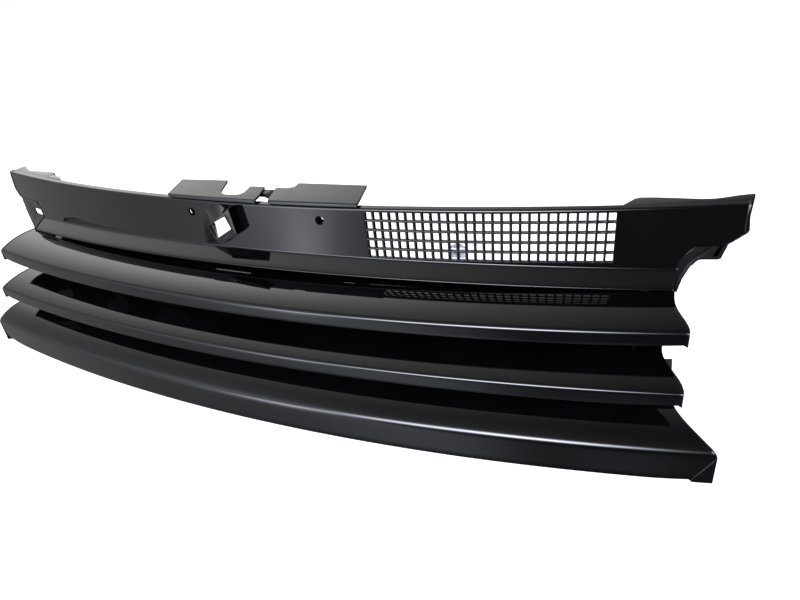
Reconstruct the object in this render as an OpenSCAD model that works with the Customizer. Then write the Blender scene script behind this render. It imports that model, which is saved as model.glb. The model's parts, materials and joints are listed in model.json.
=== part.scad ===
// Front grille: a bowed upper panel with an air-intake mesh and a release-handle guide,
// three forward-stepped slats under it, and the rear frame that carries the slats.
// Every shape is drawn from the middle of the panel's top front edge, with +X to the
// right as seen from the front, -Y to the front and +Z up. hang() then moves it so that
// the origin lies midway between the two carrier screw seats behind the panel.

/* [Upper panel] */
// Half of the panel's width at its top corners
half_width = 475; // [472:0.5:477]
// Plan radius of the panel's front face
face_radius = 1681; // [1670:1:1700]
// Height of the face at the middle, from the rim down to the crease
face_height = 54; // [54:0.5:55]
// Wall thickness of the panel and the slats
wall = 3; // [2.5:0.5:3]
// Depth of the flange behind the rim
rim_depth = 9.5; // [9.5:0.5:11]
// How far the lip band stands forward of the face
lip_reach = 17; // [16:0.5:18]
// How far the lip band drops over that reach
lip_drop = 13.6; // [13:0.1:14.2]
// Thickness of the lip band
lip_wall = 2; // [1.5:0.5:2]
// Downward slope of the crease towards the rear, in degrees
lip_tilt = 7.3; // [7:0.1:7.5]
// Half of the width of the lip band
lip_half = 423.5; // [422:0.5:425]

/* [Carrier screws] */
// Distance of each carrier screw from the middle
screw_x = 84; // [80:1:88]
// Height of the carrier screws under the rim
screw_drop = 15; // [14:0.5:16]
// Radius of the carrier screw holes
screw_hole_r = 4.5; // [3:0.25:5]
// Depth of the flat screw seats behind the face
seat_depth = 12; // [11:0.5:13]

/* [Intake mesh] */
// Left edge of the mesh opening
mesh_left = 134; // [133:0.5:136]
// Right edge of the mesh opening
mesh_right = 370; // [368:0.5:371]
// Top of the mesh opening under the rim
mesh_top = 3.5; // [3:0.5:4]
// Bottom of the mesh opening under the rim
mesh_bottom = 54; // [53:0.5:54]
// Number of mesh columns
mesh_columns = 28; // [14:1:28]
// Number of mesh rows
mesh_rows = 5; // [3:1:6]
// Thickness of a mesh bar
mesh_bar = 2; // [1.5:0.1:2.5]
// Depth of the mesh
mesh_depth = 4; // [3:0.25:4.5]

/* [Slats] */
// Plan radius of the top slat's front line
top_radius = 1923; // [1900:1:1950]
// Plan radius of the middle slat's front line
middle_radius = 2193; // [2150:1:2250]
// Plan radius of the bottom slat's front line
bottom_radius = 2272; // [2240:1:2300]

/* [Rear frame] */
// Distance from the panel's face to the front of the rear frame
frame_gap = 16; // [16:0.5:17]
// Wall thickness of the rear frame
frame_wall = 3; // [2.5:0.5:4]
// Width of a frame window
window_w = 77; // [60:1:80]

/* [Hidden] */
$fn = 96;
arc_steps = 2880; // facets in a full turn of the plan arcs

// colours
gloss = [0.06, 0.06, 0.07];
satin = [0.16, 0.16, 0.17];
steel = [0.55, 0.56, 0.58];

// a slat: front line y at the middle, height of the front line, nose height, rise of the
// top skin, depth of its curved part, half width at the rear, at the tips and below them
top_spec = [-61.4, -88.3, 14.3, 14.5, 50, 420, 438.5, 438.5];
middle_spec = [-74.1, -138.4, 14.3, 16, 55, 420, 440, 440];
bottom_spec = [-84, -194, 33, 24, 50, 434, 474.5, 464];
slat_flange = 12;
lip_root = 1.5;      // how deep the lip band is rooted in the face
left_lip_half = 415; // the lip band ends sooner on the left
// outlines of the notches under the panel's two top corners, from the corner to the lip
right_notch = [[478, -26], [461, -38.5], [437.5, -38], [431, -45], [426.5, -53],
               [lip_half, -62], [lip_half, -80]];
left_notch = [[481, -26], [472, -38], [419, -37.5], [416, -41], [412.5, -57],
              [left_lip_half, -62], [left_lip_half, -80]];
lip_slope = lip_drop / lip_reach;
flange_wall = 4;

seat_wall = 2.5;     // thickness of the ring round a carrier screw's seat
mesh_rear = 4.6;     // depth of the mesh's rear face
mesh_clip_x = [128, 226, 376];
ear_z = -46;
far = 200;
frame_half = 412;
frame_top = -43;
// dips in the top of the frame behind the guide and the mesh: from x, to x and height
frame_dips = [[-92, -36, -55], [88, 105, -62], [119, 383, -62], [397, 420, -62]];
frame_bottom = -197;
window_x = [93.5, 226, 351];
rib_x = [-288, -160, 0, 160, 288];
rib_wall = 2.5;
rib_front = 8;
end_wall_x = 396;

// screws: shank radius, head radius and head height
screw_r = 2;
head_r = 4;
head_h = 2.4;
slat_screw_x = [-400, -276, -146, -26, 26, 146, 276, 400];
frame_screw_x = [-390, -260, -130, 20, 112, 390];
frame_screw_z = -50;
clip_x = [-330, -110, 110, 330];
bracket_screw_x = [412, 455];
bracket_screw_z = -30;
flange_screw_x = [398, 440];
flange_screw_z = -15;
left_tab_screw_x = [-98, -58, -22];
right_tab_screw_x = [42, 80, 114];
tab_screw_depth = 6.1;
tab_screw_r = 1.5;
tab_head_r = 2.6;

// release-handle guide, seen from the front: the frame round its opening, its foot through
// the panel, the foot of its hood on the face, and the opening at the front and at the rear
guide_front = -12;
guide_rear = 9;
guide_frame = [[-53.5, -24], [-18.8, -3.2], [-15.2, -31.8], [-42.3, -45.7]];
guide_foot = [[-60, -24.5], [-19.5, -3.5], [-15.5, -32.5], [-43, -48], [-60, -49.5]];
hood_foot = [[-74, -53], [-70, -28], [-55, -4.5], [-19, -3.2], [-14.5, -32.8], [-42, -49.5]];
guide_mouth = [[-51.8, -24.4], [-26.1, -12.1], [-21, -26], [-44.3, -39.2]];
guide_throat = [[-57, -26.5], [-26.1, -12.1], [-21, -26], [-57, -46]];
right_tongue = [[-22, -25], [-18.8, -25], [-18.8, -13], [-22.5, -13]];
lower_tongue = [[-41, -40.5], [-29, -33.5], [-29, -36.5], [-41, -43.5]];

tab_low = 2.5;
tab_high = 5;

// ---------------------------------------------------------------- helpers

// y of an arc of radius r, x away from its middle
function sag(r, x) = r - sqrt(r * r - x * x);

// moves a drawing so that the carrier screw seats lie at the origin
module hang() translate([0, -seat_depth, screw_drop]) children();

// a section swept along an arc in plan: x is the depth behind the arc, y is the height
module bow(r, half) {
    turn = asin(half / r);
    translate([0, r, 0]) rotate([0, 0, -90 - turn])
        rotate_extrude(angle = 2 * turn, $fn = arc_steps)
            translate([r, 0]) mirror([1, 0]) children();
}

// everything behind a plan arc that lies depth behind the panel's face
module behind(depth) translate([0, face_radius, -300]) cylinder(r = face_radius - depth, h = 400, $fn = arc_steps);

// puts its children on the panel's arc, x to the right of the middle
module on_arc(x)
    translate([0, face_radius, 0]) rotate([0, 0, asin(x / face_radius)])
        translate([0, -face_radius, 0]) children();

// a cylinder that runs rearwards
module rearward(r, h) rotate([-90, 0, 0]) cylinder(r = r, h = h);

module box(x, y, z) translate([x[0], y[0], z[0]]) cube([x[1] - x[0], y[1] - y[0], z[1] - z[0]]);

module mirrored() mirror([1, 0, 0]) children();

module both_sides() { children(); mirrored() children(); }

// a flat outline in depth and height, made thick along x
module web(thickness)
    translate([-thickness / 2, 0, 0]) rotate([90, 0, 90]) linear_extrude(thickness) children();

// a flat outline in x and height, made thick along the depth
module front_plate() rotate([90, 0, 0]) translate([0, 0, -far]) linear_extrude(2 * far) children();

// ---------------------------------------------------------------- upper panel

// half of the panel's outline, seen from the front, with a notch under its corner
module end_outline(notch)
    polygon(concat([[-1, 1], [half_width, 1]], notch, [[-1, -80]]));

module below_crease(gap)
    translate([0, 0, -face_height - gap]) rotate([-lip_tilt, 0, 0])
        box([-600, 600], [-far, far], [-100, 0]);

module lip_band()
    translate([0, 0, -face_height]) rotate([-lip_tilt, 0, 0]) intersection() {
        bow(face_radius * cos(lip_tilt), lip_half + 3)
            polygon([[lip_root, lip_root * lip_slope], [-lip_reach, -lip_drop],
                     [0.8 - lip_reach, -lip_drop - lip_wall],
                     [lip_root, lip_root * lip_slope - lip_wall - 0.2]]);
        box([-left_lip_half, lip_half], [-far, far], [-30, 30]);
    }

module boss(x, z, from, to, r) on_arc(x) translate([0, from, z]) rearward(r, to - from);

module upper_panel() color(gloss) hang() difference() {
    union() {
        difference() {
            intersection() {
                bow(face_radius, 482)
                    polygon([[0, 0], [rim_depth, 0], [rim_depth, -2.5], [wall, -2.5],
                             [wall, -76], [0, -76]]);
                union() {
                    front_plate() end_outline(right_notch);
                    mirrored() front_plate() end_outline(left_notch);
                }
            }
            below_crease(lip_wall + 0.4);
        }
        // return wall behind the right-hand notch
        intersection() {
            bow(face_radius, 482) translate([wall - 0.5, -76]) square([10.5 - wall, 70]);
            front_plate() difference() {
                end_outline(right_notch);
                translate([-3, 3]) end_outline(right_notch);
                translate([-1, -100]) square([424, 101]);
                translate([466, -100]) square([20, 101]);
            }
            box([424, 466], [-far, far], [-62, -20]);
        }
        lip_band();
        both_sides() boss(screw_x, -screw_drop, wall - 0.5, 16, 8.5);
        for (x = frame_screw_x) boss(x, frame_screw_z, wall - 0.5, frame_gap, 4.5);
        for (x = bracket_screw_x) boss(x, bracket_screw_z, wall - 0.5, 10, 4);
    }
    both_sides() {
        translate([screw_x, -20, -screw_drop]) rearward(screw_hole_r, 60);
        translate([screw_x, seat_depth, -screw_drop]) box([-12, 12], [0, 20], [-12, 12]);
        // slot in the boss, on its outer side
        translate([screw_x, 0, -screw_drop])
            box([0, 12], [wall, seat_depth - seat_wall], [-screw_hole_r, screw_hole_r]);
        for (x = flange_screw_x) boss(x, flange_screw_z, 1, 6, screw_r);
    }
    box([mesh_left, mesh_right], [-10, 70], [-mesh_bottom, -mesh_top]);
    front_plate() polygon(guide_foot);
    for (x = frame_screw_x) boss(x, frame_screw_z, wall + 1, frame_gap + 1, screw_r);
    for (x = bracket_screw_x) {
        boss(x, bracket_screw_z, wall + 1, 12, screw_r);
        mirrored() boss(x, bracket_screw_z, 1.5, 4, screw_r);
    }
    for (x = concat(left_tab_screw_x, right_tab_screw_x))
        on_arc(x) translate([0, tab_screw_depth, -4]) cylinder(r = tab_screw_r, h = 6);
}

// ---------------------------------------------------------------- intake mesh

module intake_mesh() color(satin) hang() {
    pitch_x = (mesh_right - mesh_left) / mesh_columns;
    pitch_z = (mesh_bottom - mesh_top) / mesh_rows;
    difference() {
        intersection() {
            bow(face_radius, mesh_right + 5) translate([mesh_rear - mesh_depth, -mesh_bottom])
                square([mesh_depth, mesh_bottom - mesh_top]);
            box([mesh_left, mesh_right], [-10, 70], [-mesh_bottom, -mesh_top]);
        }
        for (i = [0:mesh_columns - 1], j = [0:mesh_rows - 1])
            translate([mesh_left + i * pitch_x, 0, -mesh_bottom + j * pitch_z])
                box([mesh_bar / 2, pitch_x - mesh_bar / 2], [-10, 70],
                    [mesh_bar / 2, pitch_z - mesh_bar / 2]);
    }
    // ears behind the panel's wall
    for (x = [mesh_clip_x[0], mesh_clip_x[2]])
        on_arc(x) box([-6.5, 6.5], [wall, mesh_rear], [ear_z - 6, ear_z + 6]);
}

// spring discs pressed on behind the mesh and its ears
module mesh_clips() color(steel) hang()
    for (x = mesh_clip_x) difference() {
        boss(x, ear_z, mesh_rear, mesh_rear + 1.6, x == mesh_clip_x[1] ? 9 : 6);
        boss(x, ear_z, mesh_rear - 1, mesh_rear + 4, 2);
    }

// ---------------------------------------------------------------- release-handle guide

module release_handle_guide() color(gloss) hang() difference() {
    union() {
        guide_hood();
        depth_plate(0, wall) polygon(guide_foot);
        // tongues behind the panel, which the spring clips grip
        depth_plate(wall - 1, guide_rear) polygon(right_tongue);
        depth_plate(wall - 1, guide_rear) polygon(lower_tongue);
    }
    // the opening widens towards the rear on its left
    hull() {
        depth_plate(guide_front - 0.1, guide_front) polygon(guide_mouth);
        depth_plate(wall, wall + 0.1) polygon(guide_throat);
    }
}

// an outline drawn from the front, made thick from one depth to another
module depth_plate(from, to)
    translate([0, to, 0]) rotate([90, 0, 0]) linear_extrude(to - from) children();

// hood that rises from the panel's face to the opening's frame
module guide_hood() hull() {
    depth_plate(guide_front, guide_front + 1) polygon(guide_frame);
    depth_plate(0.5, 1.5) polygon(hood_foot);
}

// spring steel plates that grip the guide's tongues behind the panel
module guide_clips() color(steel) hang() {
    depth_plate(wall + 0.6, guide_rear) translate([right_tongue[1][0], -25]) square([0.8, 12]);
    depth_plate(wall + 0.6, guide_rear) translate([0, lower_tongue[3][1] - lower_tongue[0][1]])
        polygon([lower_tongue[0], lower_tongue[1], lower_tongue[1] - [0, 0.8],
                 lower_tongue[0] - [0, 0.8]]);
}

// ---------------------------------------------------------------- tabs on top

// points of the tab's front edge, along the panel's face
function front_edge(x0, x1, steps = 8) =
    [for (i = [0:steps]) let (x = x0 + (x1 - x0) * i / steps) [x, sag(face_radius, x) - 0.6]];

module tab(outline, edge, screws) difference() {
    union() {
        translate([0, 0, tab_low]) linear_extrude(tab_high - tab_low) polygon(outline);
        // rolled front edge
        intersection() {
            translate([0, 0, 0.8]) linear_extrude(tab_high - 0.8) polygon(outline);
            bow(face_radius, 160) translate([-1, 0]) square([3, 6]);
            box([min(edge), max(edge)], [-20, 20], [0, 9]);
        }
        for (x = screws) on_arc(x) translate([0, tab_screw_depth, 0]) cylinder(r = 3, h = tab_high - 1);
    }
    for (x = screws)
        on_arc(x) translate([0, tab_screw_depth, -1]) cylinder(r = tab_screw_r, h = tab_high - 0.5);
}

module left_carrier_tab() color(satin) hang()
    tab(concat(front_edge(-113.5, 9),
               [[6, 12], [-6, 41], [-25, 40], [-19, 20], [-20, 13], [-26, 10], [-38, 10.5],
                [-47, 15], [-53, 24], [-69.5, 57], [-136, 54]]),
        [-125, 10], left_tab_screw_x);

module right_carrier_tab() color(satin) hang()
    tab(concat(front_edge(26, 128),
               [[128, 9], [113, 60], [28.5, 58], [31, 44.5], [24, 40], [10, 40]]),
        [20, 128], right_tab_screw_x);

// strap under both tabs, with a rolled catch at its rear
module latch_bridge() color(satin) hang() {
    box([-18, 34], [26, 38], [0.3, tab_low]);
    translate([-5, 38, -1.6]) rotate([0, 90, 0]) difference() {
        cylinder(r = 4.2, h = 13);
        translate([0, 0, -1]) cylinder(r = 2.6, h = 15);
        box([-6, 6], [-6, -0.2], [-1, 14]);
    }
}

// ---------------------------------------------------------------- wing flanges

module wing_flange() difference() {
    union() {
        difference() {
            translate([0, 0, -2.5]) linear_extrude(2.5)
                polygon([[371, 40], [382, 72], [396, 76], [418, 76.5], [437, 76.5], [447, 79],
                         [457, 84.5], [466, 90.5], [474, 94.5], [481, 97.5], [475.6, 70],
                         [474, 60], [420, 40]]);
            difference() { box([300, 500], [0, 120], [-9, 9]); behind(rim_depth); }
        }
        // step under the rim and leg against the panel's rear face
        intersection() {
            bow(face_radius, 476) polygon([[wall, -24], [wall, -2.5], [16, -2.5], [16, -5],
                                           [wall + 2.5, -5], [wall + 2.5, -24]]);
            box([384, 471], [0, 120], [-30, 0]);
        }
        // end gusset
        translate([472, 72, 0]) rotate([0, 0, -11]) web(2.4)
            polygon([[0, -1], [25, -1], [21, -6], [2, -25], [0, -25]]);
    }
    for (x = flange_screw_x) boss(x, flange_screw_z, 0, 12, screw_r);
}

module right_wing_flange() color(gloss) hang() wing_flange();
module left_wing_flange() color(gloss) hang() mirrored() wing_flange();

// ---------------------------------------------------------------- headlamp brackets

module headlamp_bracket(depth, outline) difference() {
    intersection() {
        bow(face_radius, 482) translate([depth, -96]) square([2.5, 78]);
        front_plate() polygon(outline);
    }
    for (x = bracket_screw_x) boss(x, bracket_screw_z, 2, 20, screw_r + 0.3);
}

module right_headlamp_bracket() color(satin) hang()
    headlamp_bracket(10, [[404, -22], [466, -22], [473, -30], [461, -56], [441, -55.5],
                          [436.5, -63], [431, -75], [428, -89], [404, -89]]);

// the left bracket lies close behind the notch and has a window in it
module left_headlamp_bracket() color(satin) hang() mirrored() difference() {
    headlamp_bracket(wall, [[404, -25], [470, -25], [479, -34], [481, -60], [477, -94],
                            [430, -94], [424, -70], [404, -70]]);
    box([415, 447], [0, 120], [-61, -52]);
}

// ---------------------------------------------------------------- slats

// a slat's section: a curved skin that flattens towards the rear, and a nose under it
module slat_section(spec, cut) {
    rise = spec[3];
    curve = spec[4];
    r = (curve * curve + rise * rise) / (2 * rise);
    translate([0, spec[1]]) difference() {
        union() {
            intersection() {
                translate([curve, rise - r]) circle(r = r - cut, $fn = 360);
                translate([cut, -spec[2] - cut]) square([curve - cut + 0.01, rise + spec[2] + 2 * cut]);
            }
            translate([curve, -spec[2] - cut]) square([110, rise + spec[2]]);
        }
        if (cut == 0) translate([9, -spec[2] - 60]) square([far, 60]);
    }
}

// a slat's plan outline on the right: narrower at the rear, flaring towards the tip
function slat_side(spec, radius, inset) =
    let (tip_y = spec[0] + sag(radius, spec[6]), back_y = tip_y + 46)
    [for (i = [0:10]) let (t = i / 10)
        [spec[5] - inset + (spec[6] - spec[5]) * (1 - cos(180 * t)) / 2, back_y - (back_y - tip_y) * t]];

module slat_plan(spec, radius, inset) {
    side = slat_side(spec, radius, inset);
    translate([0, 0, -300]) linear_extrude(300) polygon(concat(
        [[-1, -far], [spec[6] - inset, -far]], [for (i = [10:-1:0]) side[i]],
        [[spec[5] - inset, far], [-1, far]]));
}

// the nose's end slopes inwards below the tip on the bottom slat
module slat_ends(spec)
    both_sides() front_plate()
        polygon([[-1, 0], [spec[6] + 40, 0], [spec[6] + 1, spec[1] - 6], [spec[7], spec[1] - spec[2]],
                 [spec[7], -300], [-1, -300]]);

module slat(spec, radius) {
    top = spec[1] + spec[3];
    difference() {
        union() {
            difference() {
                intersection() {
                    translate([0, spec[0], 0]) bow(radius, 480) slat_section(spec, 0);
                    both_sides() slat_plan(spec, radius, 0);
                    slat_ends(spec);
                }
                intersection() {
                    translate([0, spec[0], 0]) bow(radius, 480) slat_section(spec, wall);
                    both_sides() slat_plan(spec, radius, wall);
                }
            }
            bow(face_radius, frame_half - 2) translate([frame_gap - flange_wall, top - wall - slat_flange])
                square([flange_wall + 2, slat_flange + wall / 2]);
        }
        behind(frame_gap);
        for (x = slat_screw_x) boss(x, top - wall - slat_flange / 2, 8, 20, screw_r);
    }
}

module top_slat() color(gloss) hang() slat(top_spec, top_radius);
module middle_slat() color(gloss) hang() slat(middle_spec, middle_radius);
module bottom_slat() color(gloss) hang() slat(bottom_spec, bottom_radius);

// ---------------------------------------------------------------- rear frame

function slat_top(spec) = spec[1] + spec[3];

// heights of the windows in the two bays between the slats
window_z = [[slat_top(middle_spec) + 4, slat_top(top_spec) - wall - slat_flange - 0.5],
            [slat_top(bottom_spec) + 4, slat_top(middle_spec) - wall - slat_flange - 2]];

module rear_frame() color(satin) hang() difference() {
    bow(face_radius, frame_half) translate([frame_gap, 0])
        polygon([[0, frame_bottom], [12, frame_bottom], [12, frame_bottom + 3],
                 [frame_wall, frame_bottom + 3], [frame_wall, frame_top], [0, frame_top]]);
    for (dip = frame_dips) box([dip[0], dip[1]], [-far, far], [dip[2], 10]);
    both_sides() for (x = window_x, z = window_z)
        on_arc(x) box([-window_w / 2, window_w / 2], [frame_gap - 6, frame_gap + 9], z);
    for (x = frame_screw_x) boss(x, frame_screw_z, frame_gap - 2, 30, screw_r + 0.3);
    for (x = slat_screw_x, spec = [top_spec, middle_spec, bottom_spec])
        boss(x, slat_top(spec) - wall - slat_flange / 2, frame_gap - 2, 30, screw_r + 0.3);
    for (x = clip_x) on_arc(x) box([-6, 6], [frame_gap + 5, frame_gap + 9], [-far, frame_bottom + 4]);
}

// ribs in one bay, from the skin of the slat above down to the slat below
module bay_ribs(upper, lower) {
    high = slat_top(upper) - wall;
    for (x = rib_x) on_arc(x) web(rib_wall)
        polygon([[-rib_front, high], [frame_gap - flange_wall, high],
                 [frame_gap - flange_wall, high - slat_flange], [frame_gap, high - slat_flange],
                 [frame_gap, slat_top(lower)], [-rib_front, slat_top(lower)]]);
}

module upper_ribs() color(satin) hang() bay_ribs(top_spec, middle_spec);
module lower_ribs() color(satin) hang() bay_ribs(middle_spec, bottom_spec);

// wall that closes the end of one bay, on the right
module bay_end(upper, lower, upper_radius, lower_radius) {
    high = slat_top(upper) - wall;
    front = lower[0] + sag(lower_radius, end_wall_x) + lower[4];
    back = sag(face_radius, end_wall_x) + frame_gap;
    difference() {
        translate([end_wall_x, 0, 0]) web(rib_wall)
            polygon([[front, high], [back + 5, high], [back + 5, slat_top(lower)],
                     [front, slat_top(lower)]]);
        behind(frame_gap);
        bow(face_radius, frame_half - 2) translate([frame_gap - flange_wall, high - slat_flange])
            square([flange_wall + 2, slat_flange + 2]);
    }
}

module end_wall() {
    bay_end(top_spec, middle_spec, top_radius, middle_radius);
    bay_end(middle_spec, bottom_spec, middle_radius, bottom_radius);
}

module right_end_wall() color(satin) hang() end_wall();
module left_end_wall() color(satin) hang() mirrored() end_wall();

// ---------------------------------------------------------------- fasteners

// a pan-head screw driven forwards, with its head's seat at y = 0
module screw(length, r = screw_r, head = head_r, height = head_h) {
    rearward(head, height);
    translate([0, -length, 0]) rearward(r, length + 1);
}

module slat_screws() color(steel) hang()
    for (x = slat_screw_x, spec = [top_spec, middle_spec, bottom_spec])
        on_arc(x) translate([0, frame_gap + frame_wall, slat_top(spec) - wall - slat_flange / 2])
            screw(7);

module frame_screws() color(steel) hang()
    for (x = frame_screw_x)
        on_arc(x) translate([0, frame_gap + frame_wall, frame_screw_z]) screw(12);

module tab_screws() color(steel) hang()
    for (x = concat(left_tab_screw_x, right_tab_screw_x))
        on_arc(x) translate([0, tab_screw_depth, -2.5]) rotate([-90, 0, 0])
            screw(5, tab_screw_r, tab_head_r, 2);

module bracket_screws() color(steel) hang() {
    for (x = bracket_screw_x) on_arc(x) translate([0, 12.5, bracket_screw_z]) screw(7);
    mirrored() for (x = bracket_screw_x)
        on_arc(x) translate([0, wall + 2.5, bracket_screw_z]) screw(3.8);
    both_sides() for (x = flange_screw_x)
        on_arc(x) translate([0, wall + 2.5, flange_screw_z]) screw(4);
}

// barbed snap hooks that drop into the bumper's edge
module bumper_clips() color(satin) hang() for (x = clip_x) on_arc(x)
    translate([0, frame_gap + 7, frame_bottom]) web(10)
        polygon([[-2, 5], [-2, -14], [0, -17], [4, -9], [2, -9], [2, 5]]);

upper_panel();
intake_mesh();
release_handle_guide();
left_carrier_tab();
right_carrier_tab();
latch_bridge();
left_wing_flange();
right_wing_flange();
left_headlamp_bracket();
right_headlamp_bracket();
top_slat();
middle_slat();
bottom_slat();
rear_frame();
left_end_wall();
right_end_wall();
upper_ribs();
lower_ribs();
slat_screws();
frame_screws();
tab_screws();
bracket_screws();
mesh_clips();
guide_clips();
bumper_clips();
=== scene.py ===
"""Looks of the front grille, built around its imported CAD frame.

Sizes are millimetres, measured from the middle of the panel's top front edge, with +X to the
right, -Y to the front and +Z up. place() turns them into the row frame, in metres.
"""

import json
import math

import bmesh
import bpy
from mathutils import Matrix, Vector


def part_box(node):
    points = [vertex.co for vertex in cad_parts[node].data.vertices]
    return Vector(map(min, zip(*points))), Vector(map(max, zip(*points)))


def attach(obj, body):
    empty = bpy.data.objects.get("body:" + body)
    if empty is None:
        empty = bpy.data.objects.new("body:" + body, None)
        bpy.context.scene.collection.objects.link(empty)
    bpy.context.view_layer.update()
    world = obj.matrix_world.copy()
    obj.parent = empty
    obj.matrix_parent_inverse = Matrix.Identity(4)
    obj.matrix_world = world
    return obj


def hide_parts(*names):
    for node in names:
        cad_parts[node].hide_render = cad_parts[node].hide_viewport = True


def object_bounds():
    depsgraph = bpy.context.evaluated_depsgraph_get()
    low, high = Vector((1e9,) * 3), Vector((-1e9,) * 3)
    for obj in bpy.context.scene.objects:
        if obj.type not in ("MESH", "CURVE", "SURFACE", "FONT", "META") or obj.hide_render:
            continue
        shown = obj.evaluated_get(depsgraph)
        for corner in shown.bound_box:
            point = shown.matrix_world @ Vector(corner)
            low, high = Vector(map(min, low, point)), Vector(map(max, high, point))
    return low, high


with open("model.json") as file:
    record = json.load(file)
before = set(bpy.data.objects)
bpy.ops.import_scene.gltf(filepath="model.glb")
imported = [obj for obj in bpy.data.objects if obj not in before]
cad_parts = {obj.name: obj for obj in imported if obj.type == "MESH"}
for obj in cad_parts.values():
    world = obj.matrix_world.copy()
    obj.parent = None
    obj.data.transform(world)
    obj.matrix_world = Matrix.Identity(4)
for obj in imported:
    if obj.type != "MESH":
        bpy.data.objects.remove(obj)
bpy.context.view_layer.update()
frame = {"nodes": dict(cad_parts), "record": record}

# ---------------------------------------------------------------- sizes
MM = 0.001
SEAT_DEPTH = 12  # from the panel's face back to the carrier screw seats
HANG = Vector((0, -SEAT_DEPTH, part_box("upper_panel")[1].z / MM))

# the panel: its bow in plan, rim, crease and the lip band below the crease
HALF_WIDTH = 475
FACE_RADIUS = 1681
WALL = 3
RIM_DEPTH = 8.4
CREASE = -54  # height at the middle
LIP_TILT = math.radians(7.3)  # how much the band's plane falls to the rear
LIP_RADIUS = FACE_RADIUS * math.cos(LIP_TILT)
LIP_REACH = 17
LIP_DROP = 13.6
LIP_HALF = 423.5
LEFT_LIP_HALF = 415
FRAME_GAP = 16  # from the panel's face back to the rear frame

# the intake mesh: its opening, cells, bar width and depths behind the face
MESH_X = (134, 370)
MESH_Z = (-54, -3.5)
MESH_CELLS = (28, 5)
MESH_BAR = 2
MESH_DEPTH = (0.6, 4.6)

# screw holes through the panel, their seats, and the posts for the frame's screws
SCREW_X = 84
SCREW_Z = -15
SCREW_HOLE = 4.5  # radius
SEAT_RADIUS = 8.5
SEAT_WALL = 2.5
SEAT_SLOT = 14  # reach of the slot in a seat's outer side
FRAME_SCREW_X = (-390, -260, -130, 20, 112, 390)
FRAME_SCREW_Z = -50
FRAME_POST_RADIUS = 4.5
SCREW_BORE = 2  # radius
ROUND_STEPS = 48

# the release-handle guide, seen from the front: the corners of its frame from the upper left
# one round to the right, its foot through the panel, and its opening at the front and rear
GUIDE_FRONT = -12
GUIDE_REAR = 9
HOOD_CURVE = 1.12  # over 1, its ramps are concave
GUIDE_FRAME = [(-53.5, -24), (-18.8, -3.2), (-15.2, -31.8), (-42.3, -45.7)]
GUIDE_FOOT = [(-60, -24.5), (-19.5, -3.5), (-15.5, -32.5), (-43, -48), (-60, -49.5)]
GUIDE_MOUTH = [(-51.8, -24.4), (-26.1, -12.1), (-21, -26), (-44.3, -39.2)]
GUIDE_THROAT = [(-57, -26.5), (-26.1, -12.1), (-21, -26), (-57, -46)]
GUIDE_TONGUES = [[(-22, -25), (-18.8, -25), (-18.8, -13), (-22.5, -13)],
                 [(-41, -40.5), (-29, -33.5), (-29, -36.5), (-41, -43.5)]]


def arc_y(radius, depth, x):
    """How far a plan arc lies behind its own front, depth behind it and x from the middle."""
    return radius - math.sqrt((radius - depth) ** 2 - x * x)


def place(point):
    """A point in millimetres from the panel's top front edge, in the row frame."""
    return (Vector(point) + HANG) * MM


# ---------------------------------------------------------------- mesh helpers
def new_piece(name, bm):
    """An object from a bmesh whose points are in millimetres."""
    bmesh.ops.remove_doubles(bm, verts=bm.verts, dist=1e-4)
    bmesh.ops.recalc_face_normals(bm, faces=bm.faces)
    for vert in bm.verts:
        vert.co = place(vert.co)
    mesh = bpy.data.meshes.new(name)
    bm.to_mesh(mesh)
    bm.free()
    obj = bpy.data.objects.new(name, mesh)
    bpy.context.scene.collection.objects.link(obj)
    return obj


def bake(obj):
    """Applies the object's modifiers."""
    depsgraph = bpy.context.evaluated_depsgraph_get()
    mesh = bpy.data.meshes.new_from_object(obj.evaluated_get(depsgraph))
    obj.modifiers.clear()
    obj.data = mesh


def combine(obj, operation, *tools):
    """Joins the tools to the object or cuts them out, and throws them away."""
    for tool in tools:
        boolean = obj.modifiers.new("combine", "BOOLEAN")
        boolean.operation = operation
        boolean.solver = "EXACT"
        boolean.object = tool
    bake(obj)
    for tool in tools:
        bpy.data.objects.remove(tool)


def cut(obj, *tools):
    """Cuts the tools out of the object."""
    combine(obj, "DIFFERENCE", *tools)


def smooth(obj, angle=40):
    """Shades smooth, apart from the edges sharper than the angle."""
    obj.data.shade_smooth()
    obj.data.set_sharp_from_angle(angle=math.radians(angle))


def round_edges(obj, width, angle, segments=2, shade=35):
    """Rounds every edge sharper than the angle, and shades the rest smooth."""
    rounding = obj.modifiers.new("bevel", "BEVEL")
    rounding.width = width * MM
    rounding.segments = segments
    rounding.limit_method = "ANGLE"
    rounding.angle_limit = math.radians(angle)
    rounding.miter_outer = "MITER_ARC"
    bake(obj)
    smooth(obj, shade)


def quad(bm, *verts):
    """A face, unless some of its corners are the same."""
    corners = []
    for vert in verts:
        if vert not in corners:
            corners.append(vert)
    if len(corners) > 2:
        bm.faces.new(corners)


def loft(bm, rings):
    """Faces between closed rings of points, with both ends capped."""
    for ring, following in zip(rings, rings[1:]):
        for i in range(len(ring)):
            bm.faces.new((ring[i - 1], ring[i], following[i], following[i - 1]))
    bm.faces.new(rings[0])
    bm.faces.new(rings[-1])


def bezier(a, b, c, t):
    """A point on the curve from a to c that bends towards b."""
    return a * (1 - t) ** 2 + b * 2 * t * (1 - t) + c * t * t


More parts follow.
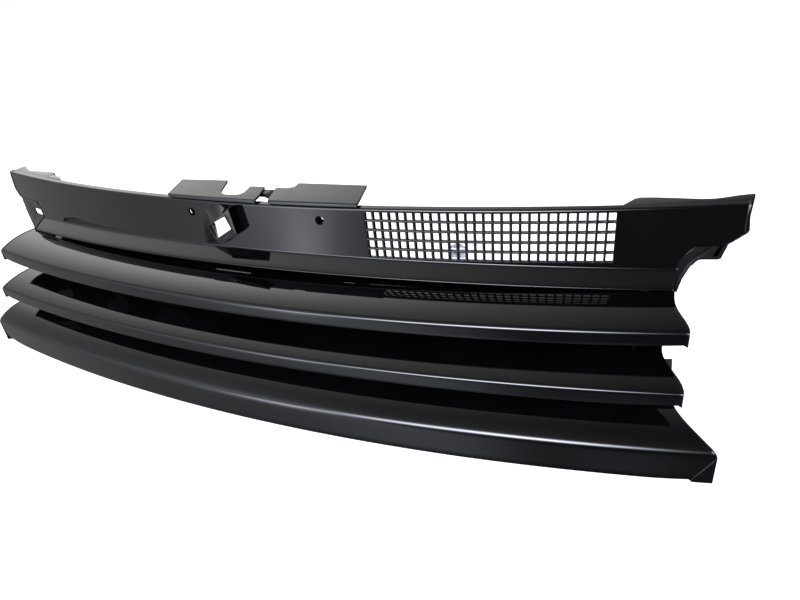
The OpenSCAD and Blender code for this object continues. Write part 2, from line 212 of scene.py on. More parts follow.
def catmull(points, steps=6):
    """A smooth line through the points."""
    line = []
    for i in range(len(points) - 1):
        p0 = Vector(points[max(i - 1, 0)])
        p1 = Vector(points[i])
        p2 = Vector(points[i + 1])
        p3 = Vector(points[min(i + 2, len(points) - 1)])
        for k in range(steps):
            t = k / steps
            line.append(
                0.5 * ((2 * p1) + (p2 - p0) * t + (2 * p0 - 5 * p1 + 4 * p2 - p3) * t * t
                       + (3 * p1 - p0 - 3 * p2 + p3) * t ** 3)
            )
    line.append(Vector(points[-1]))
    return line


def fillet(corners, steps=6):
    """A closed outline with its corners rounded; each corner is (x, y, radius)."""
    outline = []
    count = len(corners)
    for i in range(count):
        here = Vector(corners[i][:2])
        radius = corners[i][2]
        before = Vector(corners[i - 1][:2]) - here
        after = Vector(corners[(i + 1) % count][:2]) - here
        if radius == 0:
            outline.append(here)
            continue
        half = before.angle(after) / 2
        reach = min(radius / math.tan(half), before.length * 0.49, after.length * 0.49)
        start = here + before.normalized() * reach
        end = here + after.normalized() * reach
        for k in range(steps + 1):
            outline.append(bezier(start, here, end, k / steps))
    return outline


def prism(outline, low, high, to_point):
    """A bmesh of an outline made thick; to_point turns (u, v, w) into x, y, z."""
    bm = bmesh.new()
    rings = []
    for w in (low, high):
        rings.append([bm.verts.new(to_point(p[0], p[1], w)) for p in outline])
    count = len(outline)
    for i in range(count):
        k = (i + 1) % count
        bm.faces.new((rings[0][i], rings[0][k], rings[1][k], rings[1][i]))
    bm.faces.new(rings[0][::-1])
    bm.faces.new(rings[1])
    return bm


def flat(u, v, w):
    """Outlines drawn from above."""
    return (u, v, w)


def upright(u, v, w):
    """Outlines drawn from the front: w is the depth."""
    return (u, w, v)


def behind_face(u, v, w):
    """Outlines drawn from the front and bent to the panel's arc: w is the depth behind it."""
    return (u, arc_y(FACE_RADIUS, w, u), v)


class Row:
    """One line of a shell along the grille: spot(x) gives its place, and end and left_end
    its half widths on the right and on the left."""

    def __init__(self, spot, end, left_end=None):
        self.spot = spot
        self.end = end
        self.left_end = left_end

    def half(self, x):
        """Half width on the side of x."""
        end = self.left_end if x < 0 and self.left_end else self.end
        if not callable(end):
            return end
        half = 430  # a first guess, which a few rounds bring to where the row ends
        for _ in range(8):
            half = end(self.spot(math.copysign(half, x)))
        return half


def station_list(half, hinge, step, edge):
    """Pairs of x from -half to half and how far the edge is rounded off there."""
    middle = [hinge * i / round(hinge / step) for i in range(round(hinge / step))]
    count = round((half - hinge - edge) / step)
    middle += [hinge + (half - hinge - edge) * i / count for i in range(count)]
    right = [(x, 0) for x in middle]
    for turn in (0, 22, 45, 67, 90):
        a = math.radians(turn)
        right.append((half - edge + edge * math.sin(a), edge * (1 - math.cos(a))))
    left = [(-x, inset) for x, inset in right[:0:-1]]
    return left + right


def grid_points(rows, spots, half, hinge, inset):
    """Places of rows by stations. Rows of other widths are only stretched past the hinge."""
    grid = []
    for row in rows:
        ends = {side: row.half(side) - inset for side in (-1, 1)}
        line = []
        for x, _ in spots:
            if abs(x) > hinge:
                stretch = (ends[math.copysign(1, x)] - hinge) / (half - hinge)
                x = math.copysign(hinge + (abs(x) - hinge) * stretch, x)
            line.append(Vector(row.spot(x)))
        grid.append(line)
    return grid


def round_off(grid, spots):
    """Sinks the outer skin towards its ends, so that the end edges are round."""
    moved = []
    for i, line in enumerate(grid):
        new_line = []
        for k, point in enumerate(line):
            inset = spots[k][1]
            if inset:
                along = line[min(k + 1, len(line) - 1)] - line[max(k - 1, 0)]
                across = grid[min(i + 1, len(grid) - 1)][k] - grid[max(i - 1, 0)][k]
                normal = along.cross(across)
                if normal.length > 0:
                    point = point - normal.normalized() * inset
            new_line.append(point)
        moved.append(new_line)
    return moved


def shell(outer, inner, half, hinge, step=3, edge=0.8, drop=None, holes=()):
    """A closed shell between an outer and an inner set of rows.

    drop is the height that the end walls reach down to, if it has them. holes are
    (first row, last row, x from, x to) and go through both skins."""
    spots = station_list(half, hinge, step, edge)
    xs = sorted({x for hole in holes for x in hole[2:]})
    for x in xs:
        near = min(range(len(spots)), key=lambda k: abs(spots[k][0] - x))
        spots[near] = (x, 0)
    front = round_off(grid_points(outer, spots, half, hinge, 0), spots)
    inset = WALL if drop is not None else 0
    back = grid_points(inner, spots, half, hinge, inset)
    bm = bmesh.new()
    skins = [[[bm.verts.new(p) for p in line] for line in grid] for grid in (front, back)]
    count = len(spots)
    last = len(outer) - 1

    def in_hole(i, k):
        for low, high, x_from, x_to in holes:
            if low <= i < high and x_from - 0.01 <= spots[k][0] and spots[k + 1][0] <= x_to + 0.01:
                return True
        return False

    for i in range(last):
        for k in range(count - 1):
            if in_hole(i, k):
                for di, dk, a, b in ((-1, 0, (i, k), (i, k + 1)), (1, 0, (i + 1, k), (i + 1, k + 1)),
                                     (0, -1, (i, k), (i + 1, k)), (0, 1, (i, k + 1), (i + 1, k + 1))):
                    if not in_hole(i + di, k + dk):
                        quad(bm, skins[0][a[0]][a[1]], skins[0][b[0]][b[1]],
                             skins[1][b[0]][b[1]], skins[1][a[0]][a[1]])
                continue
            for skin in skins:
                quad(bm, skin[i][k], skin[i][k + 1], skin[i + 1][k + 1], skin[i + 1][k])
    for i in (0, last):
        for k in range(count - 1):
            quad(bm, skins[0][i][k], skins[0][i][k + 1], skins[1][i][k + 1], skins[1][i][k])
    for k in (0, count - 1):
        if drop is None:
            for i in range(last):
                quad(bm, skins[0][i][k], skins[0][i + 1][k], skins[1][i + 1][k], skins[1][i][k])
            continue
        feet = []
        for skin in skins:
            feet.append([bm.verts.new((row[k].co.x, row[k].co.y, min(row[k].co.z, drop)))
                         for row in skin])
        for i in range(last):
            quad(bm, skins[0][i][k], skins[0][i + 1][k], feet[0][i + 1], feet[0][i])
            quad(bm, feet[0][i], feet[0][i + 1], feet[1][i + 1], feet[1][i])
            quad(bm, feet[1][i], feet[1][i + 1], skins[1][i + 1][k], skins[1][i][k])
        quad(bm, skins[0][0][k], feet[0][0], feet[1][0], skins[1][0][k])
    return bm


# ---------------------------------------------------------------- upper panel
def on_face(depth, height):
    """A row on the bowed face, or behind it."""
    return lambda x: Vector((x, arc_y(FACE_RADIUS, depth, x), height))


def on_lip(depth, height):
    """A row on the lip band, which is swept in a plane that tilts down to the rear."""

    def spot(x):
        y = arc_y(LIP_RADIUS, depth, x)
        return Vector((x, y * math.cos(LIP_TILT) + height * math.sin(LIP_TILT),
                       CREASE - y * math.sin(LIP_TILT) + height * math.cos(LIP_TILT)))

    return spot


def near_crease(depth, above, floor=None):
    """A row at a height above the drooping crease, or at a fixed height where that is lower."""

    def spot(x):
        y = arc_y(FACE_RADIUS, 0, x)
        height = CREASE - y * math.tan(LIP_TILT) + above
        if floor is not None:
            height = max(height, floor)
        return Vector((x, arc_y(FACE_RADIUS, depth, x), height))

    return spot


def bend(a, corner, b, t):
    """A row on the curve between two others."""
    return lambda x: bezier(a(x), corner(x), b(x), t)


def panel_rows():
    """Outer and inner rows of the panel, from the rim's rear edge down to the lip."""
    outer = []
    inner = []

    def add(spot, inner_spot, *ends):
        outer.append(Row(spot, *ends))
        inner.append(Row(inner_spot, *ends))

    add(on_face(RIM_DEPTH, 0), on_face(RIM_DEPTH, -2.5), HALF_WIDTH)
    for turn in range(0, 91, 18):
        a = math.radians(turn)
        add(on_face(2.2 - 2.2 * math.sin(a), 2.2 * math.cos(a) - 2.2),
            on_face(WALL + 2 - 2 * math.sin(a), 2 * math.cos(a) - 4.5), HALF_WIDTH)
    inner[-1] = Row(on_face(WALL, -2.9), HALF_WIDTH)
    # height and half widths, right and left, of the rows on the face, which is notched low down
    face = [(MESH_Z[1], 475.4, 475.8), (-8, 476, 477), (-14, 476.6, 478.3), (-20, 477.3, 479.6),
            (-24.5, 477.9, 480.6), (-26, 477.6, 480.6), (-27.5, 476, 479.9), (-32, 470, 476.6),
            (-36, 464.4, 473.5), (-37.4, 462.4, 472), (-37.6, 462.2, 420.5),
            (-38.2, 460.5, 418.8), (-38.4, 438, 418.4), (-41, 435, 416), (-45, 431, 415.2),
            (-49, 428.7, 414.2)]
    for height, end, left_end in face:
        add(on_face(0, height), on_face(WALL, height), end, left_end)
    # the rounded crease between the face and the lip band
    slope = LIP_DROP / LIP_REACH
    turn_in = 1.3
    low = MESH_Z[0] + 0.5
    add(near_crease(0, turn_in + 0.2, low), near_crease(WALL, turn_in + 0.2, low), 426.3, 412.8)
    crease = (near_crease(0, turn_in), near_crease(0, 0), on_lip(-turn_in, -turn_in * slope))
    crease_in = (near_crease(WALL, 0.8), near_crease(WALL, -3.2), on_lip(1.2, -2.1))
    for k in range(6):
        add(bend(*crease, k / 5), bend(*crease_in, k / 5), 425, 413.5)
    for reach in (4, 8, 12, LIP_REACH - 1.6):
        add(on_lip(-reach, -reach * slope), on_lip(-reach, -reach * slope - 2.1), LIP_HALF,
            LEFT_LIP_HALF)
    # rounded front edge of the lip
    tip = (-LIP_REACH + 1.1, -LIP_DROP - 0.55)
    lean = math.atan(slope)
    for turn in range(20, 181, 32):
        a = math.radians(90 + turn) + lean
        add(on_lip(tip[0] + math.cos(a), tip[1] + math.sin(a)), on_lip(tip[0] + 0.6, tip[1] - 0.45),
            LIP_HALF, LEFT_LIP_HALF)
    return outer, inner


def hole_cutter(x, z):
    """A bar through the panel with a countersunk mouth."""
    bm = bmesh.new()
    y = arc_y(FACE_RADIUS, 0, x)
    rings = []
    for offset, radius in ((-3, SCREW_HOLE + 3.5), (0.5, SCREW_HOLE), (30, SCREW_HOLE)):
        ring = []
        for k in range(ROUND_STEPS):
            a = 2 * math.pi * k / ROUND_STEPS
            ring.append(bm.verts.new((x + radius * math.cos(a), y + offset, z + radius * math.sin(a))))
        rings.append(ring)
    loft(bm, rings)
    return new_piece("cutter", bm)


def make_panel():
    """The panel's shell with the mesh opening, screw holes and the guide's opening."""
    outer, inner = panel_rows()
    mesh_rows = (7, 23)  # the rows at MESH_Z
    bm = shell(outer, inner, 481, 400, holes=[(*mesh_rows, *MESH_X)])
    panel = new_piece("panel_shell", bm)
    window = new_piece("cutter", prism(GUIDE_FOOT, -30, 30, upright))
    cut(panel, hole_cutter(SCREW_X, SCREW_Z), hole_cutter(-SCREW_X, SCREW_Z), window)
    smooth(panel, 35)
    return panel


def make_post(name, x, z, low, high, radius, bore):
    """A tubular boss behind the panel."""
    bm = bmesh.new()
    turn = math.asin(x / FACE_RADIUS)
    edge = 0.5
    profile = [(low, bore), (low, radius), (high - edge, radius), (high, radius - edge), (high, bore)]
    rings = []
    for k in range(ROUND_STEPS):
        a = 2 * math.pi * k / ROUND_STEPS
        ring = []
        for depth, r in profile:
            side = r * math.cos(a)
            ring.append(bm.verts.new((
                math.sin(turn) * (FACE_RADIUS - depth) + side * math.cos(turn),
                FACE_RADIUS - math.cos(turn) * (FACE_RADIUS - depth) + side * math.sin(turn),
                z + r * math.sin(a))))
        rings.append(ring)
    for i in range(ROUND_STEPS):
        for k in range(len(profile)):
            bm.faces.new((rings[i - 1][k - 1], rings[i - 1][k], rings[i][k], rings[i][k - 1]))
    post = new_piece(name, bm)
    smooth(post, 40)
    return post


def make_seat(name, side):
    """A carrier screw's boss, open on its outer side."""
    seat = make_post(name, side * SCREW_X, SCREW_Z, WALL - 0.5, SEAT_DEPTH, SEAT_RADIUS, SCREW_HOLE)
    near = side * SCREW_X
    far = side * (SCREW_X + SEAT_SLOT)
    low = SCREW_Z - SCREW_HOLE
    high = SCREW_Z + SCREW_HOLE
    slot = [(near, low), (far, low), (far, high), (near, high)]
    cut(seat, new_piece("cutter", prism(slot, WALL + 0.2, SEAT_DEPTH - SEAT_WALL, upright)))
    smooth(seat, 40)
    return seat


# ---------------------------------------------------------------- slats
END_DEPTH = 46  # from a slat's tip back to where its width starts to grow
TIP_FADE = 60  # length of a slat over which its nose gets less deep at a tip
LEFT_SHRINK = 0.18
RIGHT_SHRINK = 0.1
LIFT_START = 250
LIFT_LENGTH = 400
REAR_LEG = 12  # height of the slats' rear leg below the skin


class Slat:
    """A hollow slat: a skin that curves down to the front, a rounded nose, and a rear leg."""

    def __init__(self, node, front, height, nose, rise, curve, rear, tip, tip_low, radius, soft,
                 flare, end_curve, lift):
        self.node = node
        self.front = front  # y of the nose at the middle
        self.height = height  # z that the nose and the rise are measured from
        self.nose = nose  # how far the nose hangs below it
        self.rise = rise  # how far the flat part of the skin is above it
        self.curve = curve  # how far behind the nose the skin starts to curve down
        self.rear = rear  # half width at the rear
        self.tip = tip  # half width at the front, above
        self.tip_low = tip_low  # half width on the right at the nose's lower edge
        self.radius = radius  # of the front line in plan
        self.soft = soft  # radius of the rounding between the top skin and the nose
        self.flare = flare  # how late the right-hand end widens towards its tip
        self.end_curve = end_curve  # 1 for a right-hand end that levels out again at its tip
        self.lift = lift  # how much less deep the nose is on the left
        self.circle = (curve ** 2 + rise ** 2) / (2 * rise)
        self.tip_y = front + arc_y(radius, 0, tip)

    def spot(self, depth, height):
        """A row at a depth behind the front line and a height over it. The nose is less deep
        towards the tips, most of all on the left."""

        def place_at(x):
            near_tip = min(max((abs(x) - self.tip + TIP_FADE) / TIP_FADE, 0), 1)
            to_left = min(max((LIFT_START - x) / LIFT_LENGTH, 0), 1)
            shrink = LEFT_SHRINK if x < 0 else RIGHT_SHRINK
            share = 1 - shrink * near_tip ** 2 - self.lift * to_left
            up = height * share if height < 0 else height
            return Vector((x, self.front + arc_y(self.radius, depth, x), self.height + up))

        return place_at

    def rear_spot(self, gap, height):
        """A row in front of the rear frame."""
        return lambda x: Vector((x, arc_y(FACE_RADIUS, FRAME_GAP - gap, x), self.height + height))

    def between(self, depth, gap, height, t):
        """A row on the flat part of the skin."""
        return lambda x: self.spot(depth, height)(x).lerp(self.rear_spot(gap, height)(x), t)

    def towards_tip(self, point):
        """From 0 at the rear to 1 at the tip."""
        return min(max((self.tip_y + END_DEPTH - point.y) / END_DEPTH, 0), 1)

    def end(self, point):
        """Half width where a row ends: an S-curve in plan, and a slope under the tip."""
        t = self.towards_tip(point) ** self.flare
        curved = (1 - math.cos(math.pi * t)) / 2
        width = self.rear + (self.tip - self.rear) * (t + (curved - t) * self.end_curve)
        low = min(max((self.height - 5 - point.z) / (self.nose - 5), 0), 1)
        return width - (self.tip - self.tip_low) * low * t

    def left_end(self, point):
        """Half width on the left, where the ends are cut straight in plan."""
        return self.rear + (self.tip - self.rear) * self.towards_tip(point)

    def skin(self, sunk):
        """Depth and height along the curved top, sunk below the outer skin, rear to front."""
        start = math.asin(min((self.curve - self.skin_end(sunk)) / (self.circle - sunk), 1))
        line = []
        for k in range(13):
            a = start * k / 12
            line.append((self.curve - (self.circle - sunk) * math.sin(a),
                         self.rise - self.circle + (self.circle - sunk) * math.cos(a)))
        return line

    def skin_end(self, sunk):
        """Depth at which the curved top gives way to the nose's rounding."""
        return self.soft * 0.62 if sunk == 0 else sunk + 0.6

    def row(self, spot):
        return Row(spot, self.end, self.left_end)

    def rows(self):
        """Outer and inner rows, from the foot of the rear leg round to the nose's lower edge."""
        low = -self.nose
        foot = self.rise - WALL - REAR_LEG
        outer = [self.rear_spot(0, foot), self.rear_spot(0, self.rise - 0.7),
                 self.rear_spot(0.2, self.rise - 0.2), self.rear_spot(0.7, self.rise)]
        inner = [self.rear_spot(4, foot), self.rear_spot(4, self.rise - WALL - 1),
                 self.rear_spot(4.3, self.rise - WALL - 0.3), self.rear_spot(5, self.rise - WALL)]
        for t in (0.25, 0.5, 0.75):
            outer.append(self.between(self.curve, 0.7, self.rise, 1 - t))
            inner.append(self.between(self.curve, 5, self.rise - WALL, 1 - t))
        for (d, h), (din, hin) in zip(self.skin(0), self.skin(WALL)):
            outer.append(self.spot(d, h))
            inner.append(self.spot(din, hin))
        # rounding from the top skin into the nose
        line = self.skin(0)
        start = Vector(line[-1])
        run = (start - Vector(line[-2])).normalized()
        corner = start + run * (start.x / -run.x)
        face_top = Vector((0, corner.y - (start - corner).length))
        inside = Vector(self.skin(WALL)[-1])
        for k in range(1, 9):
            outer.append(self.spot(*bezier(start, corner, face_top, k / 8)))
            inner.append(self.spot(WALL, inside.y - 0.4 * k))
        # the nose's face and its rounded lower edge
        edge = 1.2
        inside_top = inside.y - 3.2
        for t in (0.25, 0.5, 0.75, 1):
            outer.append(self.spot(0, face_top.y + (low + edge - face_top.y) * t))
            inner.append(self.spot(WALL, inside_top + (low + edge - inside_top) * t))
        for turn in (30, 60, 90):
            a = math.radians(turn)
            outer.append(self.spot(edge - edge * math.cos(a), low + edge - edge * math.sin(a)))
            inner.append(self.spot(WALL, low + edge * (1 - math.sin(a))))
        return [self.row(spot) for spot in outer], [self.row(spot) for spot in inner]

    def make(self):
        outer, inner = self.rows()
        bm = shell(outer, inner, self.tip, 385, drop=self.height - self.nose)
        slat = new_piece(self.node + "_skin", bm)
        smooth(slat, 35)
        return slat


SLATS = [
    Slat("top_slat", front=-61.4, height=-88.3, nose=14.3, rise=14.5, curve=50, rear=424.5,
         tip=439, tip_low=439, radius=1923, soft=5, flare=2, end_curve=1, lift=0),
    Slat("middle_slat", front=-74.1, height=-138.4, nose=14.3, rise=16, curve=55, rear=420,
         tip=440.5, tip_low=440.5, radius=2193, soft=4, flare=1.4, end_curve=1, lift=0),
    Slat("bottom_slat", front=-83.9, height=-194, nose=33, rise=24, curve=50, rear=433,
         tip=474.5, tip_low=456, radius=2272, soft=6, flare=2.6, end_curve=0, lift=0.06),
]


# ---------------------------------------------------------------- intake mesh
def bar_lines(span, cells):
    """Where the bars' sides lie, from one side of the mesh to the other."""
    pitch = (span[1] - span[0]) / cells
    lines = [span[0]]
    for k in range(cells):
        lines.append(span[0] + k * pitch + MESH_BAR / 2)
        lines.append(span[0] + (k + 1) * pitch - MESH_BAR / 2)
    lines.append(span[1])
    return lines


def make_mesh():
    """A grid of bars bent to the panel's arc, rounded on the front."""
    xs = bar_lines(MESH_X, MESH_CELLS[0])
    zs = bar_lines(MESH_Z, MESH_CELLS[1])
    bm = bmesh.new()
    sides = []
    for depth in MESH_DEPTH:
        sides.append([[bm.verts.new(behind_face(x, z, depth)) for x in xs] for z in zs])

    def solid(i, k):
        if not (0 <= i < len(zs) - 1 and 0 <= k < len(xs) - 1):
            return False
        return i % 2 == 0 or k % 2 == 0

    for i in range(len(zs) - 1):
        for k in range(len(xs) - 1):
            if not solid(i, k):
                continue
            for side in sides:
                bm.faces.new((side[i][k], side[i][k + 1], side[i + 1][k + 1], side[i + 1][k]))
            edges = (((i, k), (i, k + 1), (i - 1, k)), ((i + 1, k), (i + 1, k + 1), (i + 1, k)),
                     ((i, k), (i + 1, k), (i, k - 1)), ((i, k + 1), (i + 1, k + 1), (i, k + 1)))
            for a, b, beyond in edges:
                if not solid(*beyond):
                    bm.faces.new((sides[0][a[0]][a[1]], sides[0][b[0]][b[1]],
                                  sides[1][b[0]][b[1]], sides[1][a[0]][a[1]]))
    bmesh.ops.recalc_face_normals(bm, faces=bm.faces)
    front = []
    for edge in bm.edges:
        depths = [v.co.y - arc_y(FACE_RADIUS, 0, v.co.x) for v in edge.verts]
        if max(depths) < 2 and len(edge.link_faces) == 2 and edge.calc_face_angle() > 1:
            front.append(edge)
    bmesh.ops.bevel(bm, geom=front, offset=0.7, segments=3, profile=0.5, affect="EDGES")
    grid = new_piece("mesh_grid", bm)
    smooth(grid, 50)
    return grid


# ---------------------------------------------------------------- rear frame's ledge
LEDGE_HALF = 397
LEDGE_STEPS = 80


def make_ledge():
    """Sloping ledge on the front of the rear frame, up to the panel's lower edge."""
    bm = bmesh.new()
    rings = []
    front = WALL + 0.6
    rear = FRAME_GAP + 0.5
    section = [(front, -58.2), (front, -56.4), (rear, -60.4), (rear, -62.2)]
    for k in range(LEDGE_STEPS + 1):
        x = -LEDGE_HALF + 2 * LEDGE_HALF * k / LEDGE_STEPS
        rings.append([bm.verts.new((x, arc_y(FACE_RADIUS, d, x), z)) for d, z in section])
    loft(bm, rings)
    ledge = new_piece("rear_frame_ledge", bm)
    round_edges(ledge, 0.3, 50, shade=40)
    return ledge


# ---------------------------------------------------------------- release-handle guide
def resample(line, count):
    """Evenly spaced points along a line."""
    lengths = [0]
    for a, b in zip(line, line[1:]):
        lengths.append(lengths[-1] + (b - a).length)
    points = []
    k = 0
    for i in range(count):
        want = lengths[-1] * i / (count - 1)
        while k < len(line) - 2 and lengths[k + 1] < want:
            k += 1
        share = (want - lengths[k]) / (lengths[k + 1] - lengths[k])
        points.append(line[k].lerp(line[k + 1], share))
    return points


def guide_opening():
    """A cutter that widens towards the rear on its left."""
    bm = bmesh.new()
    rings = []
    for ring, y in ((GUIDE_MOUTH, GUIDE_FRONT - 1), (GUIDE_THROAT, WALL + 3)):
        rings.append([bm.verts.new((x, y, z)) for x, z in ring])
    loft(bm, rings)
    return new_piece("cutter", bm)


def make_hood():
    """The guide's hood: a concave ramp on the left and above, upright walls elsewhere."""
    a, b, c, d = (Vector(corner) for corner in GUIDE_FRAME)
    feet = [catmull([(-71, -30), (-56, -5.5), (-19, -3)]), [Vector((-19, -3)), Vector((-14.6, -32.8))],
            [Vector((-14.6, -32.8)), Vector((-42, -49))],
            catmull([(-42, -49), (-60, -52.5), (-74, -51), (-71, -30)])]
    layers = 12
    steps = 24
    columns = []
    for (start, end), foot in zip(((a, b), (b, c), (c, d), (d, a)), feet):
        for low, high in zip(resample(foot, steps + 1)[:-1],
                             resample([start, end], steps + 1)[:-1]):
            columns.append((low, high))
    bm = bmesh.new()
    rings = []
    for k in range(layers + 1):
        t = k / layers
        ring = []
        for low, high in columns:
            spot = low.lerp(high, t)
            face = arc_y(FACE_RADIUS, 0, spot.x) + 0.3
            ring.append(bm.verts.new((spot.x, face + (GUIDE_FRONT - face) * t ** HOOD_CURVE, spot.y)))
        rings.append(ring)
    base = [bm.verts.new((v.co.x, v.co.y + 1.2, v.co.z)) for v in rings[0]]
    rings.insert(0, base)
    loft(bm, rings)
    hood = new_piece("guide_hood", bm)
    cut(hood, guide_opening())
    round_edges(hood, 0.6, 35, 3, 40)
    return hood


def make_sleeve():
    """The guide's foot through the panel, with two tongues behind it."""
    sleeve = new_piece("guide_sleeve", prism(GUIDE_FOOT, 0.9, WALL + 0.6, upright))
    cut(sleeve, guide_opening())
    round_edges(sleeve, 0.3, 50, shade=40)
    tongues = []
    for word, outline in zip(("right", "lower"), GUIDE_TONGUES):
        tongue = new_piece("guide_" + word + "_tongue", prism(outline, WALL, GUIDE_REAR, upright))
        round_edges(tongue, 0.4, 50, shade=40)
        tongues.append(tongue)
    return [sleeve, *tongues]


# ---------------------------------------------------------------- tabs
TAB_LOW = 2.5
TAB_HIGH = 5
TAB_LEAD = 0.6  # how far the tabs stand in front of the panel's face
TAB_ROLL = 3  # radius of the rolled front edge
TAB_EDGE = 0.11  # share of that radius on the other edges
LEFT_TAB = (-113.5, 9, [(6, 12), (-6, 41), (-25, 40), (-19, 20), (-20, 13), (-26, 10), (-38, 10.5),
                        (-47, 15), (-53, 24), (-69.5, 57), (-136, 54)])
RIGHT_TAB = (26, 128, [(128, 9), (113, 60), (28.5, 58), (31, 44.5), (24, 40), (10, 40)])


def tab_front(x_from, x_to, depth, steps=16):
    """Points of a tab's front edge, along the panel's face."""
    xs = [x_from + (x_to - x_from) * k / steps for k in range(steps + 1)]
    return [Vector((x, arc_y(FACE_RADIUS, 0, x) + depth)) for x in xs]


def make_tab(name, x_from, x_to, rest):
    """A flat plate with a rolled front edge; rest are its other corners, right to left."""
    front = tab_front(x_from, x_to, -TAB_LEAD)
    tab = new_piece(name, prism(front + [Vector(p) for p in rest], TAB_LOW, TAB_HIGH, flat))
    roll = front + tab_front(x_from, x_to, 2)[::-1]
    combine(tab, "UNION", new_piece("strip", prism(roll, 0.8, TAB_LOW + 1, flat)))
    bm = bmesh.new()
    bm.from_mesh(tab.data)
    bmesh.ops.dissolve_limit(bm, angle_limit=math.radians(0.5), verts=bm.verts, edges=bm.edges)
    weight = bm.edges.layers.float.new("bevel_weight_edge")
    for edge in bm.edges:
        if len(edge.link_faces) != 2 or edge.calc_face_angle() < math.radians(25):
            continue
        edge[weight] = TAB_EDGE
        rolled = True
        for vert in edge.verts:
            spot = vert.co / MM - HANG
            gap = spot.y - arc_y(FACE_RADIUS, 0, spot.x)
            rolled = rolled and spot.z > TAB_HIGH - 0.1 and abs(gap + TAB_LEAD) < 0.1
        if rolled:
            edge[weight] = 1
    bm.to_mesh(tab.data)
    bm.free()
    rounding = tab.modifiers.new("bevel", "BEVEL")
    rounding.limit_method = "WEIGHT"
    rounding.width = TAB_ROLL * MM
    rounding.segments = 5
    bake(tab)
    smooth(tab, 35)
    return tab


def make_bridge():
    """A saddle under the two tabs that dips between them."""
    bm = bmesh.new()
    rings = []
    low_x = 2  # where the dip starts
    dip_width = 26
    dip_depth = 4.5
    for k in range(41):
        x = -18 + 52 * k / 40
        share = min(max((x - low_x) / dip_width, 0), 1)
        sink = dip_depth * math.sin(math.pi * share) ** 2
        ring = []
        for y, z in ((25, -1.5), (25, 0.3), (26, 2.3), (36, 2.3), (38, 0.3), (38, -1.5)):
            ring.append(bm.verts.new((x, y, z - sink)))
        rings.append(ring)
    loft(bm, rings)
    bridge = new_piece("latch_saddle", bm)
    round_edges(bridge, 0.3, 25)
    return bridge


def make_catch():
    """A rolled sheet hook at the saddle's rear."""
    outline = []
    for radius, steps in ((4.2, range(19)), (2.6, range(18, -1, -1))):
        for k in steps:
            a = math.radians(-10 + 240 * k / 18)
            outline.append((38 + radius * math.cos(a), -1.6 + radius * math.sin(a)))
    catch = new_piece("latch_catch", prism(outline, -5, 8, lambda u, v, w: (w, u, v)))
    round_edges(catch, 0.25, 50)
    return catch


# ---------------------------------------------------------------- wing flanges
def flip(outline, side):
    """The outline, mirrored to the left when side is -1."""
    return [Vector((p[0] * side, p[1])) for p in outline]


WING_REAR = [(398, 75.4), (418, 76.3), (436, 76.8), (448, 79.5), (458, 85), (467, 90.8),
             (474, 94.3), (480.5, 97)]
WING_STEP = [(WALL, -24), (WALL, -2.5), (16, -2.5), (16, -5), (WALL + 2.5, -5), (WALL + 2.5, -24)]
WING_TAIL = [(377, 53), (377, 62.5), (371, 62.3), (352, 53.6), (340, 45.2), (340, 44.4)]
WING_THICK = 2.5
GUSSET = [(-4, -0.6), (24.5, -0.6), (22, -6), (4, -25.5), (-4, -25.5)]
GUSSET_X = {1: 475.1, -1: 474}
GUSSET_Y = 72
GUSSET_TURN = math.radians(11)


def make_wing(name, side):
    """Flange behind the rim at one end, with a step, a leg and an end gusset."""
    front = [Vector((x, arc_y(FACE_RADIUS, RIM_DEPTH + 0.3, x))) for x in range(475, 370, -6)]
    outline = front + [Vector((382, 70)), Vector((387, 73.6))] + catmull(WING_REAR)
    outline.append(Vector((475.8, 76)))
    wing = new_piece(name, prism(flip(outline, side), -WING_THICK, 0, flat))
    round_edges(wing, 0.4, 40)
    bm = bmesh.new()
    rings = []
    for x in range(384, 472, 4):
        rings.append([bm.verts.new((x * side, arc_y(FACE_RADIUS, d, x), z)) for d, z in WING_STEP])
    loft(bm, rings)
    leg = new_piece(name + "_leg", bm)
    round_edges(leg, 0.4, 40)

    def at_end(u, v, w):
        x = GUSSET_X[side] + w * math.cos(GUSSET_TURN) + u * math.sin(GUSSET_TURN)
        return (x * side, GUSSET_Y + u * math.cos(GUSSET_TURN) - w * math.sin(GUSSET_TURN), v)

    gusset = new_piece(name + "_gusset", prism(GUSSET, -1.2, 1.2, at_end))
    round_edges(gusset, 0.3, 40)
    pieces = [wing, leg, gusset]
    if side < 0:
        tail = new_piece(name + "_tail", prism(flip(WING_TAIL, side), -WING_THICK, 0, flat))
        round_edges(tail, 0.4, 40)
        pieces.append(tail)
    return pieces


# ---------------------------------------------------------------- headlamp brackets
# outlines from the front: x, height and corner radius
BRACKET_THICK = 2.5
BRACKET = [(404, -22, 0), (462, -22, 2), (467.5, -31, 2), (460, -56, 3), (442, -55.5, 5),
           (435.5, -63, 6), (430.5, -75, 6), (427.5, -89, 0), (404, -89, 0)]
LEFT_BRACKET = [(404, -25, 0), (470, -25, 2), (479, -34, 3), (481, -60, 2), (477, -94, 3),
                (430, -94, 2), (424, -70, 4), (404, -70, 0)]
LEFT_WINDOW = [(415, -61, 2), (447, -61, 2), (447, -52, 2), (415, -52, 2)]


def beside(line, distance):
    """The same open line, moved to its left."""
    moved = []
    for i, point in enumerate(line):
        run = line[min(i + 1, len(line) - 1)] - line[max(i - 1, 0)]
        normal = Vector((-run.y, run.x)).normalized()
        moved.append(point + normal * distance)
    return moved


